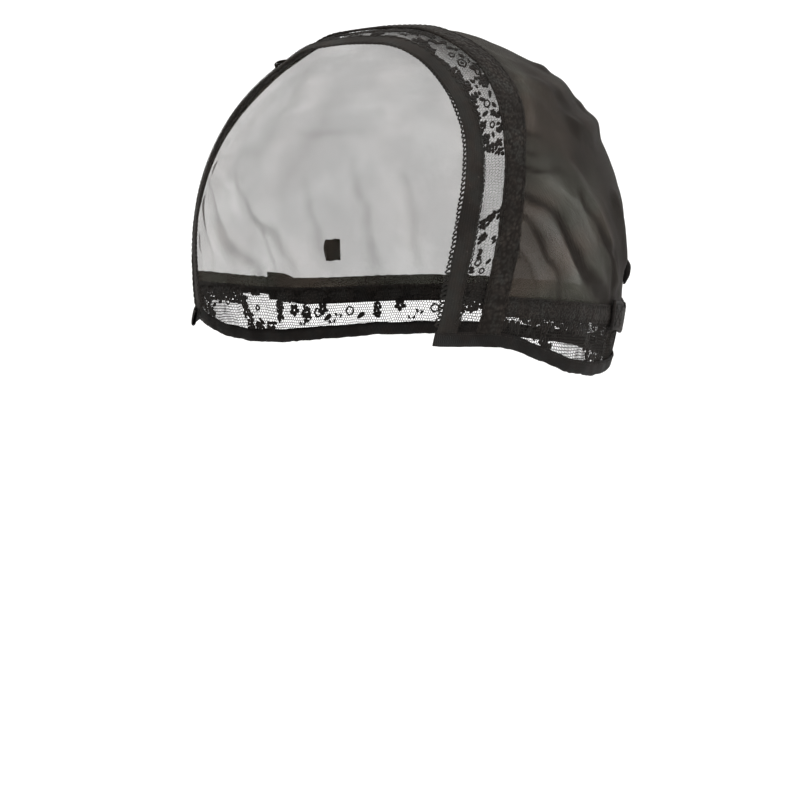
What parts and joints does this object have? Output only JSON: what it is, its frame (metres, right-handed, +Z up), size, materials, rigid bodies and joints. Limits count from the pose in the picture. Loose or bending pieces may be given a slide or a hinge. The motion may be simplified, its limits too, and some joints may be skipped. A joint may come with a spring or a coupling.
{
  "type": "lace wig cap",
  "caption": "Black wig-making cap in its worn form: arched elastic tapes with a pierced lace strip between them, sheer gathered net crown, lace nape, satin hem and adjuster strap.",
  "frame": {"origin": "inside of the crown at the top of the head, where the cap rests on it", "axes": "+Z up, -Y towards the face, +X towards the wearer's left ear"},
  "size_m": [0.1688, 0.18, 0.1407],
  "materials": {
    "tape": "matte knitted elastic",
    "band": "matte pebbled elastic",
    "net": "sheer double net",
    "lace": "matte floral lace",
    "satin": "satin ribbon"
  },
  "bodies": {
    "root": {"front_tape": "tape", "front_lace": "lace", "crown_band": "band", "crown_net": "net", "net_casing": "net", "nape_lace": "lace", "hem_binding": "satin", "nape_strap": "tape", "strap_loop_left": "satin", "strap_loop_right": "satin"}
  },
  "joints": []
}
